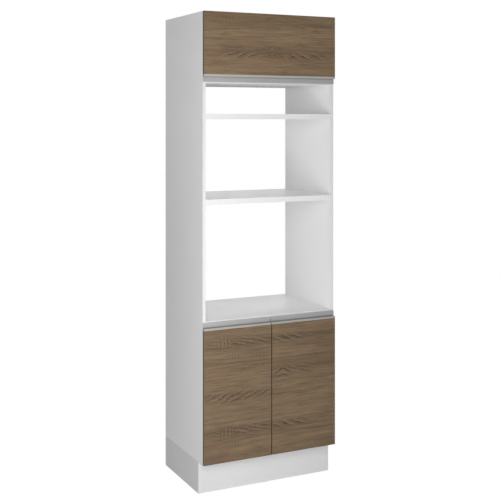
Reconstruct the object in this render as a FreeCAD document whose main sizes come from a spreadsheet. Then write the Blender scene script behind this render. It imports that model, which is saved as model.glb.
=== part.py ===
import FreeCAD, Part
import os
import re
from types import SimpleNamespace
import Sketcher
from FreeCAD import Placement, Rotation, Vector

# Driving dimensions of the cabinet, in millimetres
SIZES = (
    ("cabinet_width", 700, "over the two side panels"),
    ("carcass_depth", 475, "front to rear edge of the side panels"),
    ("board", 15, "side panels, top, floors, deck and inner shelf"),
    ("shelf_board", 25, "tray shelf and microwave shelf"),
    ("door_board", 15, "doors and flap"),
    ("edge_band", 0.5, "bands on the edges that show"),
    ("door_gap", 2, "between the carcass front and the back of a door"),
    ("door_reveal", 3, "between the two doors"),
    ("door_bottom_reveal", 2, "doors above the bottom of the side panels"),
    ("base_cupboard_height", 633.5, "clear height behind the doors"),
    ("oven_niche_height", 538.5, "clear height of the oven niche"),
    ("microwave_niche_height", 372.5, "clear height of the microwave niche"),
    ("tray_niche_height", 142, "clear height of the tray niche"),
    ("flap_compartment_height", 303.5, "clear height behind the flap"),
    ("inner_shelf_rise", 300, "inner shelf above the base floor"),
    ("inner_shelf_setback", 30, "inner shelf behind the carcass front"),
    ("inner_shelf_play", 1, "inner shelf to each side panel and to the back"),
    ("back_board", 3, "hardboard backs"),
    ("back_lap", 7, "backs over the boards that they are rebated in"),
    ("plinth_height", 150, "floor to the side panels"),
    ("plinth_setback", 50, "plinth behind the carcass front"),
    ("plinth_board", 15, "plinth boards"),
    ("block_side", 30, "plinth corner blocks, square"),
    ("block_height", 100, "plinth corner blocks, tall"),
    ("glide_length", 30, "plinth glides"),
    ("glide_width", 12, "plinth glides"),
    ("glide_height", 2, "plinth glides"),
    ("glide_inset", 30, "glides from the ends of the plinth"),
    ("profile_wall", 1.5, "wall of the handle profiles"),
    ("profile_lip", 10, "front lip of the handle profiles, tall"),
    ("profile_flange", 35, "back flange of the handle profiles, tall"),
    ("profile_tongue", 9, "tongue of the profile in the door's edge"),
    ("profile_barb", 0.4, "barbs of the tongue"),
    ("profile_nose", 2.5, "inward turn at the top of the lip"),
    ("flange_overlap", 9, "profile flange over the board behind it"),
    ("seat_clearance", 0.1, "play of a fitted piece in its seat"),
    ("tenon_thickness", 5, "loose tenons between the boards and the side panels"),
    ("tenon_width", 40, "loose tenons, front to rear"),
    ("tenon_in_side", 9, "tenon in the side panel"),
    ("tenon_in_board", 20, "tenon in the board"),
    ("tenon_inset", 50, "tenons from the front and rear edges"),
    ("pin_radius", 2.5, "shelf pins in the side panel"),
    ("pin_depth", 9, "shelf pins in the side panel"),
    ("pin_lug", 7, "lug of a shelf pin, square"),
    ("pin_lug_length", 8, "lug of a shelf pin under the shelf"),
    ("pin_inset", 70, "shelf pins from the inner shelf's edges"),
    ("bumper_side", 9, "soft pads behind the doors, square"),
    ("bumper_height", 1.7, "soft pads behind the doors"),
    ("bumper_inset", 12, "middle of a pad from the free edge of its door"),
    ("cup_radius", 17.5, "hinge cup"),
    ("cup_edge", 4, "hinge cup from the edge of the door"),
    ("cup_depth", 11.5, "hinge cup in the door"),
    ("cup_wall", 1.5, "hinge cup wall"),
    ("cup_floor", 1, "hinge cup floor"),
    ("cup_flange", 1.2, "flange of the hinge cup on the door"),
    ("ear_offset", 9.5, "screw line of the ears from the cup's centre"),
    ("ear_width", 12, "ears of the cup flange"),
    ("ear_reach", 29, "ears of the cup flange from the cup's centre"),
    ("cup_pivot_across", 10.5, "cup pivot from the outer face of the panel"),
    ("cup_pivot_ahead", 4.9, "cup pivot in front of the carcass"),
    ("nose_across", 33.8, "arm pivot from the outer face of the panel"),
    ("nose_ahead", 6.3, "arm pivot in front of the carcass"),
    ("pivot_radius", 1, "hinge pivot pins"),
    ("pivot_play", 0.05, "radial play of a pivot"),
    ("pivot_gap", 0.3, "end play beside a link"),
    ("link_width", 8, "hinge link along its pivots"),
    ("link_thickness", 2.4, "hinge link"),
    ("link_rise", 5.1, "arch of the hinge link"),
    ("arm_width", 12, "hinge arm along its pivot"),
    ("arm_wall", 1.5, "hinge arm"),
    ("arm_eye_radius", 2.2, "eye of the arm and of the link"),
    ("arm_length", 58, "hinge arm behind the carcass front"),
    ("arm_top", 28, "arm's web from the outer face of the panel"),
    ("arm_side", 6.5, "flanges of the hinge arm, tall"),
    ("arm_bend", 8, "arm's bend behind the carcass front"),
    ("arm_step", 6, "length of the arm's slanting part"),
    ("plate_wing", 2.5, "wings of the mounting plate"),
    ("plate_reach", 24, "wings from the middle of the plate"),
    ("plate_wing_length", 14, "wings along the arm"),
    ("plate_length", 38, "mounting plate along the arm"),
    ("plate_start", 18, "mounting plate behind the carcass front"),
    ("hinge_inset", 100, "hinges from the ends of a door"),
    ("bracket_thickness", 2, "gas strut brackets"),
    ("strut_across", 17, "gas strut axis from the side panel"),
    ("strut_back", 190, "rear strut pivot behind the carcass front"),
    ("strut_drop", 45, "rear strut pivot below the cabinet top"),
    ("strut_flap_back", 20, "flap strut pivot behind the carcass front"),
    ("strut_flap_drop", 50, "flap strut pivot below the cabinet top"),
    ("strut_tube_radius", 9, "gas strut tube"),
    ("strut_tube_wall", 1.5, "gas strut tube"),
    ("strut_tube_start", 13, "gas strut tube from the rear pivot"),
    ("strut_tube_length", 105, "gas strut tube"),
    ("strut_gland", 10, "rod guide at the end of the tube"),
    ("strut_rod_radius", 4, "gas strut rod"),
    ("strut_piston_length", 7, "piston on the rod"),
    ("strut_socket", 18, "end fitting of the rod from its pivot"),
    ("strut_eye_radius", 8, "end fittings of the gas strut"),
    ("strut_eye_thickness", 5, "end fittings of the gas strut"),
    ("stud_radius", 4, "studs of the brackets"),
    ("stud_end", 1, "stud past the strut's eye"),
    ("flap_stud", 2, "stud of the flap bracket"),
    ("bracket_length", 44, "bracket on the side panel"),
    ("bracket_height", 20, "bracket on the side panel"),
    ("flap_bracket_length", 36, "bracket on the flap, along its edge"),
    ("wall_bracket_leg", 40, "wall brackets, each leg"),
    ("wall_bracket_width", 30, "wall brackets, wide"),
    ("wall_bracket_wall", 2, "wall brackets"),
    ("wall_hole_radius", 3, "holes for the wall screws"),
    ("wall_hole_drop", 26, "wall screws below the top panel"),
    ("wall_hole_spacing", 480, "between the two wall screws"),
    ("overrun", 1, "how far a cut runs past a face"),
)

doc = FreeCAD.newDocument("tall_oven_cabinet")
sheet = doc.addObject("Spreadsheet::Sheet", "Sizes")
for row, (alias, millimetres, meaning) in enumerate(SIZES, start=1):
    sheet.set(f"A{row}", meaning)
    sheet.set(f"B{row}", str(millimetres))
    sheet.setAlias(f"B{row}", alias)
doc.recompute()
ALIASES = {alias for alias, millimetres, meaning in SIZES}
size = SimpleNamespace(**{alias: float(sheet.get(alias)) for alias in ALIASES})

# Planes and levels, worked out from the driving dimensions
LEFT = "(-cabinet_width / 2)"
INNER_WIDTH = "(cabinet_width - 2 * board)"
REAR = "((carcass_depth + door_gap + door_board) / 2)"
FRONT = f"({REAR} - carcass_depth)"
DOOR_BACK = f"({FRONT} - door_gap)"
DECK = "(plinth_height + board + base_cupboard_height)"
MICROWAVE = f"({DECK} + board + oven_niche_height)"
TRAY = f"({MICROWAVE} + shelf_board + microwave_niche_height)"
FLAP_FLOOR = f"({TRAY} + shelf_board + tray_niche_height)"
TOP = f"({FLAP_FLOOR} + board + flap_compartment_height)"
HEIGHT = f"({TOP} + board)"
CUP_AXIS = "(cup_edge + cup_radius)"

parts = {}
reckoner = doc.addObject("App::FeaturePython", "Reckoner")
reckoner.addProperty("App::PropertyFloat", "Result")


def in_sheet(formula):
    """The formula with each driving dimension named as a cell of the sheet."""
    def cell(word):
        return "Sizes." + word.group() if word.group() in ALIASES else word.group()
    return re.sub(r"[a-z_]+", cell, formula)


def worked_out(*formulas):
    """The present values of some formulas, in millimetres."""
    values = []
    for formula in formulas:
        reckoner.setExpression("Result", in_sheet(formula))
        reckoner.recompute()
        values.append(reckoner.Result)
    return values


def bind(thing, **formulas):
    """Ties properties of an object to formulas in the sheet's dimensions."""
    for name, formula in formulas.items():
        thing.setExpression(name, in_sheet(formula))


def put(thing, x="0", y="0", z="0"):
    """Ties the place of an object to formulas."""
    for axis, formula in zip("xyz", (x, y, z)):
        thing.setExpression("Placement.Base." + axis, in_sheet(formula))


def box(name, length, width, height, x, y, z):
    """A block along the axes with one corner at x, y, z."""
    block = doc.addObject("Part::Box", name)
    bind(block, Length=length, Width=width, Height=height)
    put(block, x, y, z)
    return block


def keep(node, thing):
    """Names an object as the sub-part that goes to the file of that name."""
    thing.Label = node
    parts[node] = thing
    return thing


def cut(node, blank, tools):
    """A sub-part made by cutting tools out of a blank."""
    tool = doc.addObject("Part::Compound", node + "_cuts")
    tool.Links = tools
    result = doc.addObject("Part::Cut", node)
    result.Base = blank
    result.Tool = tool
    return keep(node, result)


def drilling(name, holes):
    """Round tools, each given by radius, depth, mouth and direction."""
    bores = doc.addObject("Part::Feature", name)
    bores.Shape = Part.Compound([
        Part.makeCylinder(radius, depth + size.overrun, mouth - inward * size.overrun, inward)
        for radius, depth, mouth, inward in holes
    ])
    bores.Placement = Placement()
    return bores


def placed(master, places):
    """One solid copied to several places, as separate solids in one shape."""
    solids = []
    for place in places:
        solid = master.Shape.copy()
        solid.Placement = place.multiply(solid.Placement)
        solids.append(solid)
    return Part.Compound(solids)


def group(node, master, places):
    """A sub-part of identical pieces at several places."""
    pieces = doc.addObject("Part::Feature", node)
    pieces.Shape = placed(master, places)
    pieces.Placement = Placement()
    return keep(node, pieces)


def body_plane(body, role):
    """One of a body's own origin planes."""
    return next(f for f in body.Origin.OriginFeatures if f.Role == role)


def new_sketch(body, name, role):
    """An empty sketch on one of the body's own planes."""
    sketch = body.newObject("Sketcher::SketchObject", name)
    sketch.AttachmentSupport = [(body_plane(body, role), "")]
    sketch.MapMode = "FlatFace"
    return sketch


def arc_between(start, end, radius, bulge):
    """The arc of a radius from start to end, on the left of the way if bulge is 1."""
    chord = end - start
    half = chord.Length / 2
    reach = max(radius ** 2 - half ** 2, 0) ** 0.5
    left = Vector(-chord.y, chord.x, 0).normalize()
    centre = (start + end) / 2 - left * (reach * bulge)
    circle = Part.Circle(centre, Vector(0, 0, 1), radius)
    first, last = circle.parameter(start), circle.parameter(end)
    if bulge > 0:
        first, last = last, first
    return Part.ArcOfCircle(circle, first, last), bulge > 0


def outline(sketch, corners):
    """A closed outline through corners, each (x, y) and what its edge needs.

    A straight edge needs nothing more. An arc needs a radius and a bulge, 1 to the
    left of the way and -1 to the right, and half a circle also the axis and the
    place along it that its centre is held to.
    """
    points = [Vector(*worked_out(corner[0], corner[1]), 0) for corner in corners]
    ends = []
    for number, corner in enumerate(corners):
        start, end = points[number], points[(number + 1) % len(points)]
        if len(corner) == 2:
            edge, turned = Part.LineSegment(start, end), False
        else:
            edge, turned = arc_between(start, end, worked_out(corner[2])[0], corner[3])
        geometry = sketch.addGeometry(edge, False)
        ends.append((geometry, 2, 1) if turned else (geometry, 1, 2))
        if len(corner) == 4:
            tie(sketch, Sketcher.Constraint("Radius", geometry, edge.Radius), corner[2])
        if len(corner) > 4:
            tie(sketch, Sketcher.Constraint("Distance" + corner[4], -1, 1, geometry, 3,
                                            worked_out(corner[5])[0]), corner[5])
    for number, (geometry, first, last) in enumerate(ends):
        following = ends[(number + 1) % len(ends)]
        sketch.addConstraint(
            Sketcher.Constraint("Coincident", geometry, last, following[0], following[1]))
        for kind, formula, place in (("DistanceX", corners[number][0], points[number].x),
                                     ("DistanceY", corners[number][1], points[number].y)):
            tie(sketch, Sketcher.Constraint(kind, -1, 1, geometry, first, place), formula)
    return sketch


def tie(sketch, constraint, formula):
    """Adds a dimension to a sketch and ties it to a formula."""
    number = sketch.addConstraint(constraint)
    sketch.setExpression(f"Constraints[{number}]", in_sheet(formula))


def circle(sketch, x, y, radius):
    """A circle in a sketch."""
    centre = Vector(*worked_out(x, y), 0)
    geometry = sketch.addGeometry(
        Part.Circle(centre, Vector(0, 0, 1), worked_out(radius)[0]), False)
    tie(sketch, Sketcher.Constraint("Radius", geometry, worked_out(radius)[0]), radius)
    tie(sketch, Sketcher.Constraint("DistanceX", -1, 1, geometry, 3, centre.x), x)
    tie(sketch, Sketcher.Constraint("DistanceY", -1, 1, geometry, 3, centre.y), y)
    return sketch


def pad(body, sketch, length, both_ways=True):
    """Material from a sketch, half of its length each way unless told otherwise."""
    feature = body.newObject("PartDesign::Pad", sketch.Name + "_pad")
    feature.Profile = sketch
    feature.SideType = "Symmetric" if both_ways else "One side"
    bind(feature, Length=length)
    return feature


def pocket(body, sketch, length):
    """A cut from a sketch, half of its length each way."""
    feature = body.newObject("PartDesign::Pocket", sketch.Name + "_pocket")
    feature.Profile = sketch
    feature.SideType = "Symmetric"
    bind(feature, Length=length)
    return feature


def turned(body, sketch, axis):
    """Material turned a full circle about an axis of its sketch."""
    feature = body.newObject("PartDesign::Revolution", sketch.Name + "_turned")
    feature.Profile = sketch
    feature.ReferenceAxis = (sketch, [axis])
    feature.Angle = 360.0
    return feature


def new_body(name):
    return doc.addObject("PartDesign::Body", name)


# Hardboard backs, which are also the tools of their rebates
def back_panel(node, low, high):
    return keep(node, box(node, f"{INNER_WIDTH} + 2 * back_lap", "back_board",
                          f"{high} - {low} + 2 * back_lap",
                          f"{LEFT} + board - back_lap", f"{REAR} - back_board",
                          f"{low} - back_lap"))


upper_back = back_panel("upper_back_panel", f"({FLAP_FLOOR} + board)", TOP)
lower_back = back_panel("lower_back_panel", "(plinth_height + board)", DECK)

# Boards between the side panels, from the floor up
FIXED_BOARDS = (
    ("base_floor", "board", "plinth_height", [lower_back]),
    ("oven_deck", "board", DECK, [lower_back]),
    ("microwave_shelf", "shelf_board", MICROWAVE, []),
    ("tray_shelf", "shelf_board", TRAY, []),
    ("flap_compartment_floor", "board", FLAP_FLOOR, [upper_back]),
    ("top_panel", "board", TOP, [upper_back]),
)
SIDE_HEIGHT = f"({HEIGHT} - plinth_height)"
SIDE_PANELS = (
    ("side_panel_left", LEFT, f"{LEFT} + board - tenon_in_side"),
    ("side_panel_right", "cabinet_width / 2 - board", "cabinet_width / 2 - board - tenon_in_board"),
)
CORE_FRONT = f"({FRONT} + edge_band)"
CORE_DEPTH = "(carcass_depth - edge_band)"
blanks, front_bands = {}, []
for node, thickness, level, rebates in FIXED_BOARDS:
    blanks[node] = box(node + "_blank", INNER_WIDTH, CORE_DEPTH, thickness,
                       f"{LEFT} + board", CORE_FRONT, level)
    front_bands.append(box(node + "_band", INNER_WIDTH, "edge_band", thickness,
                           f"{LEFT} + board", FRONT, level))
for node, x, slot_x in SIDE_PANELS:
    blanks[node] = box(node + "_blank", "board", CORE_DEPTH, SIDE_HEIGHT, x, CORE_FRONT,
                       "plinth_height")
    front_bands.append(box(node + "_band", "board", "edge_band", SIDE_HEIGHT, x, FRONT,
                           "plinth_height"))

# Loose tenons glued into the ends of the fixed boards and into the side panels
TENON_LENGTH = "(tenon_in_side + tenon_in_board)"
TENON_ROWS = (("front", f"{FRONT} + tenon_inset"),
              ("rear", f"{REAR} - tenon_inset - tenon_width"))
tenons = []
slots = {node: [] for node in blanks}
for node, thickness, level, rebates in FIXED_BOARDS:
    height = f"{level} + ({thickness} - tenon_thickness) / 2"
    for side_panel, x, slot_x in SIDE_PANELS:
        for row_name, y in TENON_ROWS:
            name = f"{node}_{side_panel}_{row_name}"
            tenons.append(box(name + "_tenon", TENON_LENGTH, "tenon_width", "tenon_thickness",
                              slot_x, y, height))
            slot = box(name + "_slot", f"{TENON_LENGTH} + 2 * seat_clearance",
                       "tenon_width + 2 * seat_clearance", "tenon_thickness + 2 * seat_clearance",
                       f"{slot_x} - seat_clearance", f"{y} - seat_clearance",
                       f"{height} - seat_clearance")
            slots[node].append(slot)
            slots[side_panel].append(slot)
glued = doc.addObject("Part::Compound", "loose_tenons")
glued.Links = tenons
keep("loose_tenons", glued)

half_width = size.cabinet_width / 2
inner_half = half_width - size.board
rear, front = worked_out(REAR, FRONT)
top_underside = worked_out(TOP)[0]
inward = {-1: Vector(1, 0, 0), 1: Vector(-1, 0, 0)}
fit = size.seat_clearance

# Inner shelf of the base cupboard on its four pins
INNER_SHELF = "(plinth_height + board + inner_shelf_rise)"
INNER_SHELF_FRONT = f"({FRONT} + inner_shelf_setback)"
INNER_SHELF_WIDTH = f"({INNER_WIDTH} - 2 * inner_shelf_play)"
keep("base_inner_shelf", box(
    "base_inner_shelf", INNER_SHELF_WIDTH,
    f"{REAR} - back_board - inner_shelf_play - edge_band - {INNER_SHELF_FRONT}", "board",
    f"{LEFT} + board + inner_shelf_play", f"{INNER_SHELF_FRONT} + edge_band", INNER_SHELF))
front_bands.append(box("inner_shelf_band", INNER_SHELF_WIDTH, "edge_band", "board",
                       f"{LEFT} + board + inner_shelf_play", INNER_SHELF_FRONT, INNER_SHELF))
pin_places = []
pin_holes = {-1: [], 1: []}
pin_height = worked_out(f"{INNER_SHELF} - pin_lug / 2")[0]
pin_rows = worked_out(f"{INNER_SHELF_FRONT} + pin_inset", f"{REAR} - back_board - pin_inset")
for side in (-1, 1):
    for pin_y in pin_rows:
        mouth = Vector(side * inner_half, pin_y, pin_height)
        pin_places.append(Placement(mouth, Rotation(Vector(0, 0, 1), inward[side])))
        pin_holes[side].append((size.pin_radius + fit, size.pin_depth + fit, mouth, -inward[side]))

# The side panels and the boards with their slots, holes and rebates
bands = doc.addObject("Part::Compound", "carcass_edge_bands")
bands.Links = front_bands
keep("carcass_edge_bands", bands)
wall_bores = [
    (size.wall_hole_radius, size.back_board,
     Vector(side * size.wall_hole_spacing / 2, rear, top_underside - size.wall_hole_drop),
     Vector(0, -1, 0))
    for side in (-1, 1)
]
for (node, x, slot_x), side in zip(SIDE_PANELS, (-1, 1)):
    holes = drilling(node + "_pin_holes", pin_holes[side])
    cut(node, blanks[node], slots[node] + [holes, upper_back, lower_back])
for node, thickness, level, rebates in FIXED_BOARDS:
    cut(node, blanks[node], slots[node] + rebates)
parts.pop("upper_back_panel")
upper_back.Label = "upper_back_blank"
cut("upper_back_panel", upper_back, [drilling("wall_screw_bores", wall_bores)])


# Turned pieces are drawn at the origin and then set in place
def round_piece(name, steps):
    """A turned piece along Z from (radius, start, end) steps."""
    body = new_body(name)
    sketch = new_sketch(body, name + "_section", "XZ_Plane")
    corners = [("0", steps[0][1])]
    for radius, start, end in steps:
        corners += [(radius, start), (radius, end)]
    corners.append(("0", steps[-1][2]))
    outline(sketch, corners)
    turned(body, sketch, "V_Axis")
    return body


shelf_pin = doc.addObject("Part::MultiFuse", "shelf_pin")
shelf_pin.Shapes = [
    round_piece("pin_shank", [("pin_radius", "-pin_depth", "0")]),
    box("pin_lug_block", "pin_lug", "pin_lug", "pin_lug_length", "-pin_lug / 2", "-pin_lug / 2",
        "0"),
]
doc.recompute()
group("shelf_pins", shelf_pin, pin_places)

# Plinth frame on its glides, with a block in each corner
PLINTH_FRONT = f"({FRONT} + plinth_setback)"
PLINTH_TALL = "(plinth_height - glide_height)"
SIDE_RUN = f"({REAR} - {PLINTH_FRONT} - plinth_board)"
keep("plinth_front", box("plinth_front", "cabinet_width", "plinth_board", PLINTH_TALL,
                         LEFT, PLINTH_FRONT, "glide_height"))
keep("plinth_back", box("plinth_back", "cabinet_width - 2 * plinth_board", "plinth_board",
                        PLINTH_TALL, f"{LEFT} + plinth_board", f"{REAR} - plinth_board",
                        "glide_height"))
keep("plinth_side_left", box("plinth_side_left", "plinth_board", SIDE_RUN, PLINTH_TALL,
                             LEFT, f"{PLINTH_FRONT} + plinth_board", "glide_height"))
keep("plinth_side_right", box("plinth_side_right", "plinth_board", SIDE_RUN, PLINTH_TALL,
                              "cabinet_width / 2 - plinth_board",
                              f"{PLINTH_FRONT} + plinth_board", "glide_height"))
blocks = doc.addObject("Part::Compound", "plinth_corner_blocks")
blocks.Links = [
    box(name, "block_side", "block_side", "block_height", x, y,
        "plinth_height - block_height")
    for name, x, y in (
        ("block_front_left", f"{LEFT} + plinth_board", f"{PLINTH_FRONT} + plinth_board"),
        ("block_front_right", "cabinet_width / 2 - plinth_board - block_side",
         f"{PLINTH_FRONT} + plinth_board"),
        ("block_back_left", f"{LEFT} + plinth_board", f"{REAR} - plinth_board - block_side"),
        ("block_back_right", "cabinet_width / 2 - plinth_board - block_side",
         f"{REAR} - plinth_board - block_side"),
    )
]
keep("plinth_corner_blocks", blocks)
BESIDE = "(plinth_board - glide_width) / 2"
glides = doc.addObject("Part::Compound", "plinth_glides")
glides.Links = [
    box(name, length, width, "glide_height", x, y, "0")
    for name, length, width, x, y in (
        ("glide_front_left", "glide_width", "glide_length", f"{LEFT} + {BESIDE}",
         f"{PLINTH_FRONT} + glide_inset"),
        ("glide_front_right", "glide_width", "glide_length",
         f"cabinet_width / 2 - glide_width - {BESIDE}", f"{PLINTH_FRONT} + glide_inset"),
        ("glide_rear_left", "glide_width", "glide_length", f"{LEFT} + {BESIDE}",
         f"{REAR} - glide_inset - glide_length"),
        ("glide_rear_right", "glide_width", "glide_length",
         f"cabinet_width / 2 - glide_width - {BESIDE}", f"{REAR} - glide_inset - glide_length"),
        ("glide_front_middle", "glide_length", "glide_width", "-glide_length / 2",
         f"{PLINTH_FRONT} + {BESIDE}"),
        ("glide_rear_middle", "glide_length", "glide_width", "-glide_length / 2",
         f"{REAR} - glide_width - {BESIDE}"),
    )
]
keep("plinth_glides", glides)

# Doors and flap, with the groove of the handle profile in one edge
DOOR_WIDTH = "((cabinet_width - door_reveal) / 2)"
DOOR_BOTTOM = "(plinth_height + door_bottom_reveal)"
DOOR_WOOD_TOP = f"({DECK} + flange_overlap - profile_flange)"
DOOR_HEIGHT = f"({DOOR_WOOD_TOP} - {DOOR_BOTTOM})"
FLAP_WOOD_BOTTOM = f"({FLAP_FLOOR} + board - flange_overlap + profile_flange)"
FLAP_HEIGHT = f"({HEIGHT} - {FLAP_WOOD_BOTTOM})"
DOOR_FRONT = f"({DOOR_BACK} - door_board)"
GROOVE = "(profile_wall + 2 * profile_barb)"
PANELS = {
    "door_left": (DOOR_WIDTH, DOOR_HEIGHT, LEFT, DOOR_BOTTOM, DOOR_WOOD_TOP),
    "door_right": (DOOR_WIDTH, DOOR_HEIGHT, "(door_reveal / 2)", DOOR_BOTTOM, DOOR_WOOD_TOP),
    "flap": ("cabinet_width", FLAP_HEIGHT, LEFT, FLAP_WOOD_BOTTOM, FLAP_WOOD_BOTTOM),
}


def hinge_frame(across, along, at, start):
    """Turns the hinge's own frame (across the panel, ahead, along the axis) into place."""
    return [Placement(start + along * place, Rotation(*across, "XYZ")) for place in at]


# The hinge frame's X runs inward from the panel's outer face and its Y out of the front
left_axes = (Vector(1, 0, 0), Vector(0, -1, 0), Vector(0, 0, -1))
right_axes = (Vector(-1, 0, 0), Vector(0, -1, 0), Vector(0, 0, 1))
flap_axes = (Vector(0, 0, -1), Vector(0, -1, 0), Vector(-1, 0, 0))
door_bottom, door_wood_top, cabinet_top, cup_axis = worked_out(
    DOOR_BOTTOM, DOOR_WOOD_TOP, HEIGHT, CUP_AXIS)
door_heights = (door_bottom + size.hinge_inset, door_wood_top - size.hinge_inset)
flap_spots = (size.hinge_inset - half_width, half_width - size.hinge_inset)
hinges = {
    "door_left": hinge_frame(left_axes, Vector(0, 0, 1), door_heights,
                             Vector(-half_width, front, 0)),
    "door_right": hinge_frame(right_axes, Vector(0, 0, 1), door_heights,
                              Vector(half_width, front, 0)),
    "flap": hinge_frame(flap_axes, Vector(1, 0, 0), flap_spots,
                        Vector(0, front, cabinet_top)),
}

for leaf, (width, height, x, z, edge) in PANELS.items():
    hangs = leaf == "flap"
    core_z = z if hangs else f"{z} + edge_band"
    far_band_z = f"{z} + {height} - edge_band" if hangs else z
    blank = box(leaf + "_blank", f"{width} - 2 * edge_band", "door_board", f"{height} - edge_band",
                f"{x} + edge_band", DOOR_FRONT, core_z)
    banded = doc.addObject("Part::Compound", leaf + "_bands_blank")
    banded.Links = [
        box(leaf + "_left_band", "edge_band", "door_board", f"{height} - edge_band", x,
            DOOR_FRONT, core_z),
        box(leaf + "_right_band", "edge_band", "door_board", f"{height} - edge_band",
            f"{x} + {width} - edge_band", DOOR_FRONT, core_z),
        box(leaf + "_far_band", width, "door_board", "edge_band", x, DOOR_FRONT, far_band_z),
    ]
    inside = "-overrun" if hangs else "-profile_tongue - seat_clearance"
    groove = box(leaf + "_groove", f"{width} + 2 * overrun", f"{GROOVE} + 2 * seat_clearance",
                 "profile_tongue + seat_clearance + overrun", f"{x} - overrun",
                 f"{DOOR_FRONT} + (door_board - {GROOVE}) / 2 - seat_clearance",
                 f"{edge} + {inside}")
    cups = drilling(leaf + "_cup_bores", [
        (size.cup_radius + fit, size.cup_depth + fit,
         frame.multVec(Vector(cup_axis, size.door_gap, 0)), Vector(0, -1, 0))
        for frame in hinges[leaf]])
    cut(leaf + "_panel", blank, [groove, cups])
    cut(leaf + "_edge_bands", banded, [groove])

# Handle profile: web on the panel's edge, front lip, back flange and tongue
MIDDLE = "(door_board / 2)"
HALF_WALL = "(profile_wall / 2)"
PROFILE = (
    ("0", "0"),
    ("0", "profile_lip"),
    ("profile_nose", "profile_lip"),
    ("profile_nose", "profile_lip - profile_wall"),
    ("profile_wall", "profile_lip - profile_wall"),
    ("profile_wall", "profile_wall"),
    ("door_board - profile_wall", "profile_wall"),
    ("door_board - profile_wall", "profile_flange"),
    ("door_board", "profile_flange"),
    ("door_board", "0"),
    (f"{MIDDLE} + {HALF_WALL}", "0"),
    (f"{MIDDLE} + {HALF_WALL}", "-profile_tongue + profile_barb * 4"),
    (f"{MIDDLE} + {HALF_WALL} + profile_barb", "-profile_tongue + profile_barb * 3"),
    (f"{MIDDLE} + {HALF_WALL}", "-profile_tongue"),
    (f"{MIDDLE} - {HALF_WALL}", "-profile_tongue"),
    (f"{MIDDLE} - {HALF_WALL} - profile_barb", "-profile_tongue + profile_barb * 3"),
    (f"{MIDDLE} - {HALF_WALL}", "-profile_tongue + profile_barb * 4"),
    (f"{MIDDLE} - {HALF_WALL}", "0"),
)


def handle_profile(node, x, z, length, upward):
    """An extruded handle along the edge of a panel, lip to the front."""
    body = new_body(node)
    section = new_sketch(body, node + "_section", "YZ_Plane")
    turn = "" if upward else "-"
    outline(section, [(y, f"{turn}({rise})") for y, rise in PROFILE])
    pad(body, section, length, both_ways=False)
    put(body, x, DOOR_FRONT, z)
    return keep(node, body)


handle_profile("door_left_handle", LEFT, DOOR_WOOD_TOP, DOOR_WIDTH, True)
handle_profile("door_right_handle", "door_reveal / 2", DOOR_WOOD_TOP, DOOR_WIDTH, True)
handle_profile("flap_handle", LEFT, FLAP_WOOD_BOTTOM, "cabinet_width", False)


# Hinge cup: a turned pot with two screw ears and the stub that the link ends beside
def hinge_cup():
    body = new_body("cup_pot")
    section = new_sketch(body, "cup_section", "XY_Plane")
    bottom = "(door_gap + cup_depth)"
    mouth = "(door_gap - cup_flange)"
    outline(section, [
        ("0", bottom),
        ("cup_radius", bottom),
        ("cup_radius", mouth),
        ("cup_radius - cup_wall", mouth),
        ("cup_radius - cup_wall", f"{bottom} - cup_floor"),
        ("0", f"{bottom} - cup_floor"),
    ])
    turned(body, section, "V_Axis")
    ears = box("cup_ears", "ear_width", "cup_flange", "2 * ear_reach",
               "ear_offset - ear_width / 2", mouth, "-ear_reach")
    hollow = doc.addObject("Part::Cylinder", "cup_hollow")
    bind(hollow, Radius="cup_radius - cup_wall", Height="cup_flange + 2 * overrun")
    hollow.Placement = Placement(Vector(), Rotation(Vector(1, 0, 0), -90))
    put(hollow, "0", f"{mouth} - overrun", "0")
    open_ears = doc.addObject("Part::Cut", "open_cup_ears")
    open_ears.Base, open_ears.Tool = ears, hollow
    inset = f"({CUP_AXIS} - cup_pivot_across)"
    stub_start = "(link_width / 2 + pivot_gap)"
    stub = doc.addObject("Part::Cylinder", "cup_stub")
    bind(stub, Radius="pivot_radius",
         Height=f"sqrt(cup_radius ^ 2 - {inset} ^ 2) - cup_wall / 2 - {stub_start}")
    put(stub, f"-{inset}", "cup_pivot_ahead", stub_start)
    cup = doc.addObject("Part::MultiFuse", "hinge_cup")
    cup.Shapes = [body, open_ears, stub]
    return cup


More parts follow.
